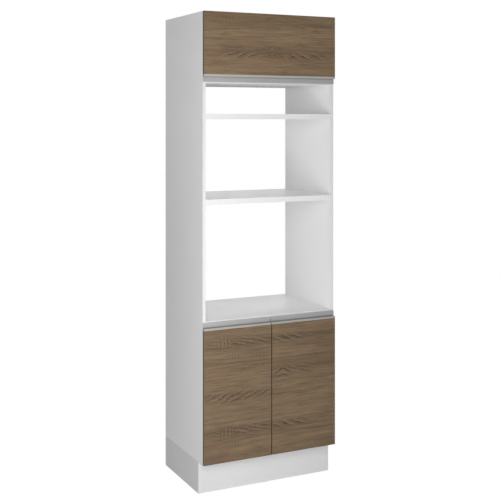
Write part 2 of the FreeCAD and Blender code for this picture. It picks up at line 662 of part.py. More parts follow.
# Hinge link: an arched strip from the arm's pivot to the cup's pivot
def hinge_link():
    reach = "(nose_across - cup_pivot_across)"
    climb = "(nose_ahead - cup_pivot_ahead)"
    chord = f"sqrt({reach} ^ 2 + {climb} ^ 2)"
    radius = f"((({reach} ^ 2 + {climb} ^ 2) / 4 + link_rise ^ 2) / (2 * link_rise))"
    centre_x = (f"((nose_across + cup_pivot_across) / 2"
                f" + {climb} / {chord} * ({radius} - link_rise))")
    centre_y = (f"((nose_ahead + cup_pivot_ahead) / 2"
                f" - {reach} / {chord} * ({radius} - link_rise))")

    def offset(x, y, sign):
        rim = f"({radius} {sign} link_thickness / 2) / {radius}"
        return (f"{centre_x} + ({x} - {centre_x}) * {rim}",
                f"{centre_y} + ({y} - {centre_y}) * {rim}")
    body = new_body("hinge_link")
    strip = new_sketch(body, "link_strip", "XY_Plane")
    outer, inner = f"{radius} + link_thickness / 2", f"{radius} - link_thickness / 2"
    outline(strip, [
        (*offset("cup_pivot_across", "cup_pivot_ahead", "+"), outer, 1),
        offset("nose_across", "nose_ahead", "+"),
        (*offset("nose_across", "nose_ahead", "-"), inner, -1),
        offset("cup_pivot_across", "cup_pivot_ahead", "-"),
    ])
    pad(body, strip, "link_width")
    eye = circle(new_sketch(body, "link_eye", "XY_Plane"), "nose_across", "nose_ahead",
                 "arm_eye_radius")
    pad(body, eye, "link_width")
    hole = circle(new_sketch(body, "link_hole", "XY_Plane"), "nose_across", "nose_ahead",
                  "pivot_radius + pivot_play")
    doc.recompute()
    pocket(body, hole, "link_width + 2 * overrun")
    return body


# Hinge arm: a channel with its web inward, and the link's pivot riveted into its sides
def hinge_arm():
    body = new_body("hinge_arm")
    low, high = "(nose_across - arm_eye_radius)", "(nose_across + arm_eye_radius)"
    web, foot = "arm_top", "(arm_top - arm_side)"
    slant = "(-arm_bend - arm_step)"
    side = new_sketch(body, "arm_sides", "XY_Plane")
    outline(side, [
        (low, "nose_ahead"),
        (f"{low} + arm_eye_radius / 2", "nose_ahead + arm_eye_radius"),
        (f"{high} - arm_eye_radius / 2", "nose_ahead + arm_eye_radius"),
        (high, "nose_ahead"),
        (high, "-arm_bend"),
        (web, slant),
        (web, "-arm_length"),
        (foot, "-arm_length"),
        (foot, slant),
        (low, "-arm_bend + arm_step"),
    ])
    pad(body, side, "arm_width")
    channel = new_sketch(body, "arm_channel", "XY_Plane")
    neck = "(nose_ahead - arm_eye_radius - pivot_gap)"
    outline(channel, [
        (f"{foot} - overrun", "-arm_length - overrun"),
        (f"{foot} - overrun", f"{slant} + arm_wall"),
        (f"{low} - overrun", "-arm_bend + arm_step + arm_wall"),
        (f"{low} - overrun", "nose_ahead + arm_eye_radius + overrun"),
        (f"{high} + overrun", "nose_ahead + arm_eye_radius + overrun"),
        (f"{high} + overrun", neck),
        (f"{high} - arm_wall", neck),
        (f"{high} - arm_wall", "-arm_bend + arm_wall / 2"),
        (f"{web} - arm_wall", f"{slant} + arm_wall / 2"),
        (f"{web} - arm_wall", "-arm_length - overrun"),
    ])
    doc.recompute()
    pocket(body, channel, "arm_width - 2 * arm_wall")
    pad(body, circle(new_sketch(body, "arm_pivot", "XY_Plane"), "nose_across", "nose_ahead",
                     "pivot_radius"), "arm_width - arm_wall")
    return body


# Mounting plate: a rib between the arm's sides, with a wing on each side
def mounting_plate():
    rib = box("plate_rib", "arm_top - arm_wall - board", "plate_length",
              "arm_width - 2 * arm_wall - 2 * seat_clearance", "board",
              "-plate_start - plate_length",
              "-arm_width / 2 + arm_wall + seat_clearance")
    wings = box("plate_wings", "plate_wing", "plate_wing_length", "2 * plate_reach", "board",
                "-plate_start - (plate_length + plate_wing_length) / 2", "-plate_reach")
    plate = doc.addObject("Part::MultiFuse", "mounting_plate")
    plate.Shapes = [rib, wings]
    return plate


cup, link, arm, plate = hinge_cup(), hinge_link(), hinge_arm(), mounting_plate()
doc.recompute()
cup_shift = Placement(Vector(cup_axis, 0, 0), Rotation())
for leaf, frames in hinges.items():
    group(leaf + "_hinge_cups", cup, [frame.multiply(cup_shift) for frame in frames])
    group(leaf + "_hinge_links", link, frames)
    group(leaf + "_hinge_arms", arm, frames)
    group(leaf + "_hinge_plates", plate, frames)

# Soft square pads on the backs of the doors and the flap, where they meet the carcass
def soft_pad(name, middle_x, middle_z):
    return box(name, "bumper_side", "bumper_height", "bumper_side",
               f"{middle_x} - bumper_side / 2", DOOR_BACK, f"{middle_z} - bumper_side / 2")


FREE_EDGE = "(door_reveal / 2 + bumper_inset)"
ON_FLOOR = "(plinth_height + board / 2)"
FLAP_LOW = f"({FLAP_WOOD_BOTTOM} + bumper_inset)"
keep("door_left_bumpers", soft_pad("door_left_bumpers", f"-{FREE_EDGE}", ON_FLOOR))
keep("door_right_bumpers", soft_pad("door_right_bumpers", FREE_EDGE, ON_FLOOR))
flap_pads = doc.addObject("Part::Compound", "flap_bumpers")
flap_pads.Links = [soft_pad("flap_pad_left", f"{LEFT} + board / 2", FLAP_LOW),
                   soft_pad("flap_pad_right", "cabinet_width / 2 - board / 2", FLAP_LOW)]
keep("flap_bumpers", flap_pads)


# Gas strut along X: its rear pivot at the origin, its rod towards the flap
STRUT_LENGTH = ("sqrt((strut_back - strut_flap_back) ^ 2"
                " + (strut_flap_drop - strut_drop) ^ 2)")
TUBE_END = "(strut_tube_start + strut_tube_length)"
BORE = "(strut_tube_radius - strut_tube_wall)"


def eye_hole(body, x):
    """The hole of an end fitting, round the stud of its bracket."""
    hole = circle(new_sketch(body, body.Name + "_hole", "XY_Plane"), x, "0",
                  "stud_radius + pivot_play")
    doc.recompute()
    pocket(body, hole, "strut_eye_thickness + 2 * overrun")


def strut_tube():
    body = new_body("strut_tube")
    section = new_sketch(body, "tube_section", "XY_Plane")
    bore_start = "(strut_tube_start + strut_tube_wall)"
    gland = f"({TUBE_END} - strut_gland)"
    guide = "(strut_rod_radius + pivot_play)"
    outline(section, [
        ("strut_tube_start", "0"),
        ("strut_tube_start", "strut_tube_radius"),
        (TUBE_END, "strut_tube_radius"),
        (TUBE_END, guide),
        (gland, guide),
        (gland, BORE),
        (bore_start, BORE),
        (bore_start, "0"),
    ])
    turned(body, section, "H_Axis")
    eye = outline(new_sketch(body, "tube_eye", "XY_Plane"), [
        ("0", "strut_eye_radius", "strut_eye_radius", -1, "X", "0"),
        ("0", "-strut_eye_radius"),
        ("strut_tube_start", "-strut_eye_radius"),
        ("strut_tube_start", "strut_eye_radius"),
    ])
    pad(body, eye, "strut_eye_thickness")
    eye_hole(body, "0")
    return body


def strut_rod():
    body = new_body("strut_rod")
    piston = "(strut_tube_start + strut_tube_wall + pivot_gap)"
    socket = f"({STRUT_LENGTH} - strut_socket)"
    section = new_sketch(body, "rod_section", "XY_Plane")
    outline(section, [
        (piston, "0"),
        (piston, f"{BORE} - pivot_play"),
        (f"{piston} + strut_piston_length", f"{BORE} - pivot_play"),
        (f"{piston} + strut_piston_length", "strut_rod_radius"),
        (socket, "strut_rod_radius"),
        (socket, "0"),
    ])
    turned(body, section, "H_Axis")
    eye = outline(new_sketch(body, "rod_eye", "XY_Plane"), [
        (STRUT_LENGTH, "-strut_eye_radius", "strut_eye_radius", -1, "X", STRUT_LENGTH),
        (STRUT_LENGTH, "strut_eye_radius"),
        (socket, "strut_rod_radius"),
        (socket, "-strut_rod_radius"),
    ])
    pad(body, eye, "strut_eye_thickness")
    eye_hole(body, STRUT_LENGTH)
    return body


def place_along(thing, start, way):
    """Puts a body's own X axis along a direction in the plane of the side panels."""
    thing.Placement = Placement(start, Rotation(way, Vector(), Vector(1, 0, 0), "XZY"))


STRUT_X = "(cabinet_width / 2 - board - strut_across)"
strut_x = worked_out(STRUT_X)[0]
rear_pivot = Vector(strut_x, front + size.strut_back, cabinet_top - size.strut_drop)
flap_pivot = Vector(strut_x, front + size.strut_flap_back, cabinet_top - size.strut_flap_drop)
for node, body in (("strut_tube", strut_tube()), ("strut_rod", strut_rod())):
    place_along(body, rear_pivot, flap_pivot - rear_pivot)
    keep(node, body)


# Brackets of the gas strut: one on the side panel and one on the back of the flap
def rod_along_x(name, radius, length, x, y, z):
    """A round bar along X."""
    bar = doc.addObject("Part::Cylinder", name)
    bind(bar, Radius=radius, Height=length)
    bar.Placement = Placement(Vector(), Rotation(Vector(0, 1, 0), 90))
    put(bar, x, y, z)
    return bar


def fused(node, pieces):
    whole = doc.addObject("Part::MultiFuse", node)
    whole.Shapes = pieces
    return keep(node, whole)


REAR_Y, REAR_Z = f"({FRONT} + strut_back)", f"({HEIGHT} - strut_drop)"
FLAP_Y, FLAP_Z = f"({FRONT} + strut_flap_back)", f"({HEIGHT} - strut_flap_drop)"
side_plate = box("side_bracket_plate", "bracket_thickness", "bracket_length", "bracket_height",
                 "cabinet_width / 2 - board - bracket_thickness",
                 f"{REAR_Y} - bracket_length / 2", f"{REAR_Z} - bracket_height / 2")
STUD_END = f"({STRUT_X} - strut_eye_thickness / 2 - stud_end)"
side_stud = rod_along_x("side_bracket_stud", "stud_radius",
                        f"cabinet_width / 2 - board - bracket_thickness - {STUD_END}",
                        STUD_END, REAR_Y, REAR_Z)
fused("strut_side_bracket", [side_plate, side_stud])

LUG = f"({STRUT_X} + strut_eye_thickness / 2 + pivot_gap + flap_stud)"
lug = new_body("flap_bracket_lug")
pad(lug, outline(new_sketch(lug, "lug_outline", "YZ_Plane"), [
    ("0", "-strut_eye_radius", "strut_eye_radius", -1, "X", "0"),
    ("0", "strut_eye_radius"),
    ("-strut_flap_back - door_gap", "strut_eye_radius"),
    ("-strut_flap_back - door_gap", "-strut_eye_radius"),
]), "bracket_thickness", both_ways=False)
put(lug, LUG, FLAP_Y, FLAP_Z)
foot = box("flap_bracket_foot", "flap_bracket_length", "bracket_thickness",
           "2 * strut_eye_radius", f"{LUG} + bracket_thickness - flap_bracket_length",
           DOOR_BACK, f"{FLAP_Z} - strut_eye_radius")
flap_stud = rod_along_x("flap_bracket_stud", "stud_radius", "flap_stud", f"{LUG} - flap_stud",
                        FLAP_Y, FLAP_Z)
fused("strut_flap_bracket", [lug, foot, flap_stud])


# Angle brackets that hold the cabinet to the wall, inside the flap compartment
def wall_bracket():
    """A bent strip under the top panel and down the back, with its screw hole."""
    body = new_body("wall_bracket")
    strip = new_sketch(body, "wall_bracket_section", "YZ_Plane")
    outline(strip, [
        ("0", "0"),
        ("-wall_bracket_leg", "0"),
        ("-wall_bracket_leg", "-wall_bracket_wall"),
        ("-wall_bracket_wall", "-wall_bracket_wall"),
        ("-wall_bracket_wall", "-wall_bracket_leg"),
        ("0", "-wall_bracket_leg"),
    ])
    pad(body, strip, "wall_bracket_width")
    hole = circle(new_sketch(body, "wall_bracket_hole", "XZ_Plane"), "0", "-wall_hole_drop",
                  "wall_hole_radius")
    doc.recompute()
    pocket(body, hole, "2 * wall_bracket_leg")
    return body


bracket = wall_bracket()
doc.recompute()
group("wall_brackets", bracket, [
    Placement(Vector(side * size.wall_hole_spacing / 2, rear - size.back_board,
                     top_underside), Rotation())
    for side in (-1, 1)
])

# Every object is sound before anything is written
doc.recompute()
failed = [thing.Name for thing in doc.Objects
          if {"Invalid", "Error"} & set(thing.State)]
failed += [node for node, thing in parts.items()
           if thing.Shape.isNull() or not thing.Shape.isValid()]
if failed:
    raise RuntimeError("failed: " + ", ".join(failed))
os.makedirs("parts", exist_ok=True)
for node, thing in parts.items():
    thing.Shape.exportStep(f"parts/{node}.step")
    print(node, len(thing.Shape.Solids), round(thing.Shape.Volume))
print(len(parts), "sub-parts")
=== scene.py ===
from math import pi, radians

import bmesh
import bpy
from bpy.props import FloatProperty, FloatVectorProperty, PointerProperty
from mathutils import Matrix, Vector


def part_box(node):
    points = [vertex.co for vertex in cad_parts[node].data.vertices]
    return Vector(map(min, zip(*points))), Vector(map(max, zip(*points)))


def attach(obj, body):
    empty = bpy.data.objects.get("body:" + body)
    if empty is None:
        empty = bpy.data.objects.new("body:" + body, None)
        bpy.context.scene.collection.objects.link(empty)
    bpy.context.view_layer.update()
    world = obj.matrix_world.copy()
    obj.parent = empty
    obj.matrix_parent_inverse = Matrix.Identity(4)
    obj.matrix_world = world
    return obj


bl_info = {
    "name": "Tall Oven Cabinet",
    "version": (1, 0, 0),
    "blender": (4, 5, 0),
    "location": "View3D > Sidebar > Cabinet",
    "description": "Finishes, small fittings and studio of a tall oven cabinet",
    "category": "Object",
}

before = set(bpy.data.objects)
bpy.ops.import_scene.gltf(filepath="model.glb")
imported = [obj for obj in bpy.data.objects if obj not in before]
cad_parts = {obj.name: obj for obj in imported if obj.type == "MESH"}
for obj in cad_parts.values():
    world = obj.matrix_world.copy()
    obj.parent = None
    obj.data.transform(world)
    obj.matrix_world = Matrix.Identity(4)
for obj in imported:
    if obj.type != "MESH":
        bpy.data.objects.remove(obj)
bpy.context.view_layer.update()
LEAVES = ("door_left", "door_right", "flap")
BACK_PANELS = ("upper_back_panel", "lower_back_panel")
UPRIGHTS_AND_TOP = ("side_panel_left", "side_panel_right", "top_panel")
SHELVES = ("flap_compartment_floor", "tray_shelf", "microwave_shelf", "oven_deck", "base_floor",
           "base_inner_shelf")
PLINTH_SIDES = ("plinth_side_left", "plinth_side_right")
PLINTH_BOARDS = ("plinth_front", "plinth_back", "plinth_corner_blocks")


def millimetres(value):
    return value / 1000


HALF_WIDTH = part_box("carcass_edge_bands")[1].x
SIDE_BOARD = millimetres(15)
BRACKET_SHEET = millimetres(2)


# Kinds of values that a user can change
def length(name, description, value):
    """A length, given in millimetres."""
    return FloatProperty(name=name, description=description, default=millimetres(value),
                         unit="LENGTH", subtype="DISTANCE", precision=5)


def colour(name, description, red, green, blue):
    """A colour in linear light."""
    return FloatVectorProperty(name=name, description=description, subtype="COLOR", size=3,
                               min=0, max=1, default=(red, green, blue))


def location(name, description, x, y, z):
    """A place in the room, in metres."""
    return FloatVectorProperty(name=name, description=description, subtype="TRANSLATION",
                               unit="LENGTH", size=3, default=(x, y, z))


def power(name, description, watts):
    """The power of a lamp."""
    return FloatProperty(name=name, description=description, default=watts,
                         subtype="POWER", unit="POWER")


def number(name, description, value):
    """A plain number, such as a strength."""
    return FloatProperty(name=name, description=description, default=value)


class CabinetSizes(bpy.types.PropertyGroup):
    """Sizes of the finishes and of the small fittings"""
    edge_rounding: length("Edge rounding", "Rounding of the plinth boards' edges", 0.5)
    screw_head: length("Screw head", "Radius of the pan heads", 3.4)
    screw_rise: length("Screw rise", "Height of the pan heads", 1.6)
    handle_lip: length("Handle lip", "Height of the handles' front lip", 10)
    nail_head: length("Nail head", "Radius of the nails in the backs", 2.2)
    nail_pitch: length("Nail pitch", "Between the nails in the backs", 105)
    grain_line: length("Grain line", "Usual spacing of the dark grain lines", 9)
    grain_swing: length("Grain swing", "Slow swing of the grain across a front", 5)
    figure_wobble: length("Figure wobble", "Unsteadiness of the strokes of a figure", 17)
    print_repeat: length("Print repeat", "Height after which the doors' print repeats", 411)


class CabinetColours(bpy.types.PropertyGroup):
    """Colours of all pieces and of the floor"""
    melamine: colour("Melamine", "White boards", 0.83, 0.83, 0.835)
    # Painted light: the same melamine as the uprights, made lighter on the level boards to stand
    # for the light that falls on their tops.
    shelf: colour("Shelf", "White boards that lie level", 0.90, 0.90, 0.90)
    plinth: colour("Plinth", "Plinth boards", 0.69, 0.69, 0.69)
    # The three band tones are one white band under different light: lighter on the shelves in the
    # open niche as painted light, darker by the leaves as painted shade.
    white_band: colour("White band", "Front bands of the side panels", 0.69, 0.69, 0.69)
    lit_shelf_band: colour("Shelf band", "Front bands of the shelves", 0.74, 0.74, 0.74)
    leaf_shade_band: colour("Hidden band", "Front bands next to the leaves", 0.63, 0.63, 0.63)
    chips: colour("Chips", "Raw chipboard of the rear edges", 0.42, 0.31, 0.19)
    oak_light: colour("Oak light", "Light bands of the wood print", 0.257, 0.177, 0.103)
    oak_middle: colour("Oak middle", "Ground of the wood print", 0.176, 0.119, 0.067)
    oak_dark: colour("Oak dark", "Dark grain of the wood print", 0.088, 0.054, 0.031)
    oak_pale: colour("Oak pale", "Pale strokes of the wood print", 0.355, 0.254, 0.158)
    oak_red: colour("Oak red", "Reddish patches of the wood print", 0.238, 0.136, 0.082)
    oak_olive: colour("Oak olive", "Olive patches of the wood print", 0.205, 0.152, 0.078)
    # Painted shade: the inner bands are dark to stand for the shadow in the gaps between the
    # leaves.
    oak_band: colour("Oak band", "Inner edge bands of the fronts", 0.03, 0.018, 0.009)
    oak_outer_band: colour("Oak outer band", "Outer edge bands of the fronts", 0.15, 0.12, 0.092)
    hardboard: colour("Hardboard", "Raw rear of the backs", 0.27, 0.165, 0.085)
    beech: colour("Beech", "Loose tenons", 0.60, 0.40, 0.22)
    anodised: colour("Anodised", "Handle profiles", 0.455, 0.455, 0.45)
    nickel: colour("Nickel", "Hinges, pins and rod", 0.58, 0.56, 0.53)
    zinc: colour("Zinc", "Brackets, screws and nails", 0.47, 0.49, 0.52)
    lacquer: colour("Lacquer", "Tube of the gas strut", 0.018, 0.018, 0.02)
    plastic: colour("Plastic", "Glides", 0.78, 0.78, 0.76)
    soft_pad: colour("Soft pad", "Pads behind the fronts", 0.62, 0.62, 0.60)
    floor: colour("Floor", "Studio floor", 0.80, 0.80, 0.80)


class CabinetStudio(bpy.types.PropertyGroup):
    """Camera, floor and light"""
    camera_place: location("Camera", "Place of the camera", -2.1279, -4.3825, 1.7483)
    camera_turn: FloatProperty(name="Camera turn", description="Turn of the level camera",
                               default=radians(-25.95), subtype="ANGLE", unit="ROTATION")
    focal_length: FloatProperty(name="Focal length", description="Lens of the camera",
                                default=70.34, subtype="DISTANCE_CAMERA", unit="CAMERA")
    horizon: number("Shift", "Downward shift of the lens", -0.2611)
    rear_fill: number("Rear fill", "Even light from the backdrop", 1.45)
    front_fill: number("Front fill", "Even light from the front", 0.28)
    right_fill: number("Right fill", "Even light from the right", 0.5)
    top_fill: number("Top fill", "Even light from above", 0.1)
    softbox_width: length("Softbox width", "Width of both softboxes", 1300)
    softbox_height: length("Softbox height", "Height of both softboxes", 1900)
    main_power: power("Main softbox", "Power of the main softbox", 34)
    main_place: location("Main place", "Place of the main softbox", -1.2, -1.95, 1.3)
    low_power: power("Low softbox", "Power of the low softbox", 15.7)
    low_place: location("Low place", "Place of the low softbox", -0.6, -2.2, 0.9)
    floor_radius: length("Floor radius", "Reach of the round floor", 40000)


# Shader nodes
def add_node(tree, kind, inputs=None, **settings):
    """A node with its settings, and its sockets linked or set."""
    node = tree.nodes.new(kind)
    for name, value in settings.items():
        setattr(node, name, value)
    for key, value in (inputs or {}).items():
        if isinstance(value, bpy.types.NodeSocket):
            tree.links.new(value, node.inputs[key])
        else:
            node.inputs[key].default_value = value
    return node


def maths(tree, operation, first, second=0.0, third=0.0):
    """The result of a Math node."""
    return add_node(tree, "ShaderNodeMath", {0: first, 1: second, 2: third},
                    operation=operation).outputs[0]


def ranged(tree, value, low, high, start=0.0, end=1.0):
    """A value carried smoothly from one range to another and held at its ends."""
    return add_node(tree, "ShaderNodeMapRange", {
        "Value": value, "From Min": low, "From Max": high, "To Min": start, "To Max": end,
    }, interpolation_type="SMOOTHSTEP").outputs["Result"]


def noise(tree, vector, scale=1.0, detail=2.0, roughness=0.5):
    """The grey value of a noise texture."""
    return add_node(tree, "ShaderNodeTexNoise", {
        "Vector": vector, "Scale": scale, "Detail": detail, "Roughness": roughness,
    }).outputs["Fac"]


def split(tree, vector):
    """The three parts of a vector."""
    return add_node(tree, "ShaderNodeSeparateXYZ", {0: vector}).outputs


def stretched(tree, x, y, z, along, across):
    """Coordinates for a pattern that is long along X and close along Z."""
    return add_node(tree, "ShaderNodeCombineXYZ", {
        "X": maths(tree, "MULTIPLY", x, along), "Y": y, "Z": maths(tree, "MULTIPLY", z, across),
    }).outputs[0]


def mixed(tree, share_of_second, first, second):
    """One colour laid over another."""
    node = add_node(tree, "ShaderNodeMix", data_type="RGBA")
    for key, value in (("Factor", share_of_second), ("A", first), ("B", second)):
        socket = next(s for s in node.inputs
                      if s.name == key and s.type == ("VALUE" if key == "Factor" else "RGBA"))
        if isinstance(value, bpy.types.NodeSocket):
            tree.links.new(value, socket)
        elif key == "Factor":
            socket.default_value = value
        else:
            socket.default_value = (*value[:3], 1.0)
    return next(s for s in node.outputs if s.type == "RGBA")


def tinted(base, factor):
    """A colour made darker or lighter, up to white."""
    return [min(c * factor, 1) for c in base]


def new_material(name, roughness, metallic=0.0, sheen=0.5):
    """A material with a Principled shader and its object coordinates."""
    material = bpy.data.materials.new(name)
    material.use_nodes = True
    tree = material.node_tree
    surface = next(n for n in tree.nodes if n.type == "BSDF_PRINCIPLED")
    surface.inputs["Roughness"].default_value = roughness
    surface.inputs["Metallic"].default_value = metallic
    surface.inputs["Specular IOR Level"].default_value = sheen
    place = add_node(tree, "ShaderNodeTexCoord").outputs["Object"]
    return material, tree, surface, place


def finish_with(tree, surface, base, height, depth, roughness=None):
    """Joins a colour, a bump and a roughness to the surface."""
    tree.links.new(base, surface.inputs["Base Color"])
    bump = add_node(tree, "ShaderNodeBump", {"Height": height, "Distance": depth,
                                             "Strength": 1.0})
    tree.links.new(bump.outputs[0], surface.inputs["Normal"])
    if roughness is not None:
        tree.links.new(roughness, surface.inputs["Roughness"])


def toward(tree, axis):
    """How far a surface faces a direction of the object, from 0 to 1."""
    facing_way = add_node(tree, "ShaderNodeTexCoord").outputs["Normal"]
    return ranged(tree, split(tree, facing_way)[axis], 0.4, 0.6)


def shown_white(tree, lit, white, output):
    """Shows the camera a plain white, while everything else gets the lit shader."""
    seen = add_node(tree, "ShaderNodeLightPath").outputs["Is Camera Ray"]
    both = add_node(tree, "ShaderNodeMixShader", {0: seen, 1: lit.outputs[0],
                                                  2: white.outputs[0]})
    end = next(n for n in tree.nodes if n.type == output)
    tree.links.new(both.outputs[0], end.inputs["Surface"])


# White boards
def melamine(name, base, chips=None):
    """White board with a faint pearl texture, and raw chipboard on its rear edges if given."""
    roughness, pearl_depth = 0.42, millimetres(0.02)
    material, tree, surface, place = new_material(name, roughness)
    cloud = noise(tree, place, 2.3, 3)
    pearl = noise(tree, place, 1400, 2)
    coated = mixed(tree, cloud, tinted(base, 0.985), tinted(base, 1.015))
    gloss = ranged(tree, noise(tree, place, 9, 4), 0.3, 0.7, roughness - 0.05, roughness + 0.06)
    if chips is None:
        finish_with(tree, surface, coated, pearl, pearl_depth, gloss)
        return material
    flakes = add_node(tree, "ShaderNodeTexVoronoi", {"Vector": place, "Scale": 420.0})
    shade = ranged(tree, flakes.outputs["Color"], 0.1, 0.9)
    raw = mixed(tree, shade, tinted(chips, 0.62), tinted(chips, 1.35))
    rear = toward(tree, "Y")
    rough_chips = maths(tree, "MULTIPLY", shade, rear)
    finish_with(tree, surface, mixed(tree, rear, coated, raw),
                maths(tree, "MULTIPLY_ADD", rough_chips, 6.0, pearl), pearl_depth,
                maths(tree, "MULTIPLY_ADD", rear, 0.35, gloss))
    return material


def edge_bands(name, upright, shelf, leaf_shade):
    """White bands, with tones for the side panels, the shelves and what lies by the leaves:
    painted light on the shelves in the open niche, and painted shade by the leaves.
    """
    side_margin, shelf_margin = millimetres(0.1), millimetres(1)
    material, tree, surface, place = new_material(name, 0.34)
    x, _, z = split(tree, place)
    on_side = maths(tree, "GREATER_THAN", maths(tree, "ABSOLUTE", x),
                    HALF_WIDTH - SIDE_BOARD - side_margin)
    over_deck = maths(tree, "GREATER_THAN", z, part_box("oven_deck")[1].z + shelf_margin)
    under_flap = maths(tree, "LESS_THAN", z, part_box("tray_shelf")[1].z + shelf_margin)
    lit_niche = maths(tree, "MULTIPLY", over_deck, under_flap)
    streaks = noise(tree, place, 320, 3)
    # Painted light and shade: one white band is lighter in the open niche and darker by the
    # leaves, where their shade falls.
    tone = mixed(tree, on_side, mixed(tree, lit_niche, leaf_shade, shelf), upright)
    streaked = mixed(tree, maths(tree, "MULTIPLY", streaks, 0.06), tone, (0.5, 0.5, 0.5))
    finish_with(tree, surface, streaked, streaks, millimetres(0.02),
                ranged(tree, streaks, 0.3, 0.7, 0.30, 0.40))
    return material


def backed_hardboard(name, white, raw):
    """Hardboard that is lacquered white inside and raw, with its fibres, at the rear."""
    material, tree, surface, place = new_material(name, 0.55)
    rear = toward(tree, "Y")
    fibres = noise(tree, place, 420, 5, 0.65)
    flecks = noise(tree, place, 170, 4, 0.6)
    fibrous = mixed(tree, fibres, tinted(raw, 0.60), tinted(raw, 1.42))
    flecked = mixed(tree, ranged(tree, flecks, 0.50, 0.72, 0.0, 0.35), fibrous,
                    tinted(raw, 0.45))
    finish_with(tree, surface, mixed(tree, rear, white, flecked), fibres, millimetres(0.05),
                ranged(tree, rear, 0, 1, 0.4, 0.8))
    return material


# Wood and wood print
def straight_grain(name, light):
    """Plain wood with its grain along X."""
    material, tree, surface, place = new_material(name, 0.6)
    x, y, z = split(tree, place)
    rays = noise(tree, stretched(tree, x, maths(tree, "MULTIPLY", y, 500), z, 12, 900), 1, 3)
    tone = mixed(tree, rays, tinted(light, 0.7), light)
    finish_with(tree, surface, tone, rays, millimetres(0.05))
    return material


def oak_bands(name, inner, outer):
    """Bands of the fronts: dark where two leaves meet, as painted shade of the gap, and lighter on
    the outer sides.
    """
    starts, full = HALF_WIDTH - millimetres(5), HALF_WIDTH - millimetres(3)
    material, tree, surface, place = new_material(name, 0.6, sheen=0.2)
    x, y, z = split(tree, place)
    outside = ranged(tree, maths(tree, "ABSOLUTE", x), starts, full)
    streaks = noise(tree, stretched(tree, y, x, z, 300, 25), 1, 3)
    # Painted shade: the inner tone stands for the shadow in the gap between two leaves.
    tone = mixed(tree, outside, inner, outer)
    streaked = mixed(tree, ranged(tree, streaks, 0.35, 0.65, 0.0, 0.25), tone,
                     tinted(inner, 0.6))
    finish_with(tree, surface, streaked, streaks, millimetres(0.03))
    return material


# Figures of the print, in millimetres, with X from the middle and Z from the floor. A row
# gives the middle, the reach each way, the slope of arches and ripples, the spacing of all
# strokes, and the depth of the tone. Arches stand over their middle, ripples slope one way,
# ticks stand upright, and shades and glows have no strokes.
REPEATED_DOOR_FIGURES = {
    "ripples": (
        ((-300, 708), (48, 13), -0.12, 13, 0.8),
        ((-118, 704), (122, 19), -0.27, 19, 1.0),
        ((95, 703), (98, 15), -0.44, 27, 1.0),
        ((-150, 590), (170, 4), 0.02, 10, 0.4),
        ((240, 606), (75, 5), 0.04, 10, 0.5),
    ),
    "ticks": (
        ((-241, 704), (36, 22), 20, 0.9),
        ((-202, 636), (34, 26), 15, 0.5),
        ((-90, 642), (40, 26), 16, 0.4),
        ((250, 647), (30, 18), 17, 0.3),
    ),
    "shades": (
        ((250, 706), (110, 18), 0.4),
    ),
}
DOOR_FIGURES = {
    "arches": (
        ((58, 543), (52, 25), 0.55, 25, 1.0),
    ),
    "ripples": (
        ((-172, 453), (168, 20), 0.44, 24, 1.0),
        ((165, 545), (66, 20), -0.25, 17, 0.9),
        ((190, 437), (75, 4), 0.03, 9, 0.7),
        ((-170, 362), (160, 4), 0.06, 9, 0.5),
    ),
    "shades": (
        ((0, 288), (350, 24), 0.7),
        ((-180, 722), (170, 26), 0.9),
        ((-300, 712), (60, 44), 1.0),
        ((-270, 768), (110, 34), 0.55),
        ((-240, 311), (70, 22), 0.9),
        ((-290, 189), (70, 28), 0.7),
        ((300, 187), (60, 30), 0.7),
        ((320, 300), (50, 60), 0.4),
        ((-180, 338), (180, 22), 0.5),
        ((190, 545), (150, 25), 0.6),
    ),
    "glows": (
        ((120, 645), (170, 44), 0.8),
        ((90, 500), (150, 20), 0.5),
        ((140, 372), (180, 24), 0.8),
    ),
}
FLAP_FIGURES = {
    "arches": (
        ((4, 2054), (70, 16), 0.50, 13, 1.0),
        ((2, 2086), (56, 11), 0.34, 11, 0.9),
    ),
    "ripples": (
        ((-165, 2053), (98, 12), 0.45, 28, 1.0),
        ((190, 2052), (112, 12), -0.45, 29, 1.0),
        ((-200, 2082), (52, 6), 0.04, 8, 1.0),
        ((-302, 2046), (40, 6), 0.15, 9, 0.7),
        ((225, 2078), (60, 4), 0.02, 8, 0.5),
        ((120, 2193), (70, 3), 0.02, 9, 0.7),
        ((268, 2198), (72, 5), 0.03, 10, 0.9),
        ((-250, 2172), (75, 3), 0.02, 8, 0.5),
        ((-140, 2192), (80, 3), 0.02, 8, 0.6),
    ),
    "ticks": (
        ((-214, 2222), (26, 20), 16, 0.5),
        ((-84, 2228), (26, 18), 14, 0.5),
        ((76, 2224), (26, 20), 15, 0.5),
    ),
    "shades": (
        ((0, 2058), (330, 24), 0.5),
        ((0, 2196), (350, 14), 0.25),
        ((-230, 2003), (160, 26), 0.5),
    ),
    "glows": (
        ((110, 2120), (260, 22), 0.9),
        ((200, 2226), (150, 18), 0.5),
        ((290, 1995), (90, 30), 0.5),
    ),
}


def lowered(figures, drop):
    """The same figures, lower down."""
    return {kind: [((x, z - drop), *rest) for (x, z), *rest in rows]
            for kind, rows in figures.items()}


def from_middle(tree, x, z, middle, reach):
    """Across and above the middle of a figure, and how far that is for its reach."""
    across = maths(tree, "SUBTRACT", x, millimetres(middle[0]))
    above = maths(tree, "SUBTRACT", z, millimetres(middle[1]))
    over_x = maths(tree, "ABSOLUTE", maths(tree, "DIVIDE", across, millimetres(reach[0])))
    over_z = maths(tree, "DIVIDE", above, millimetres(reach[1]))
    away = maths(tree, "ADD", maths(tree, "POWER", over_x, 4.0),
                 maths(tree, "MULTIPLY", over_z, over_z))
    return across, above, away


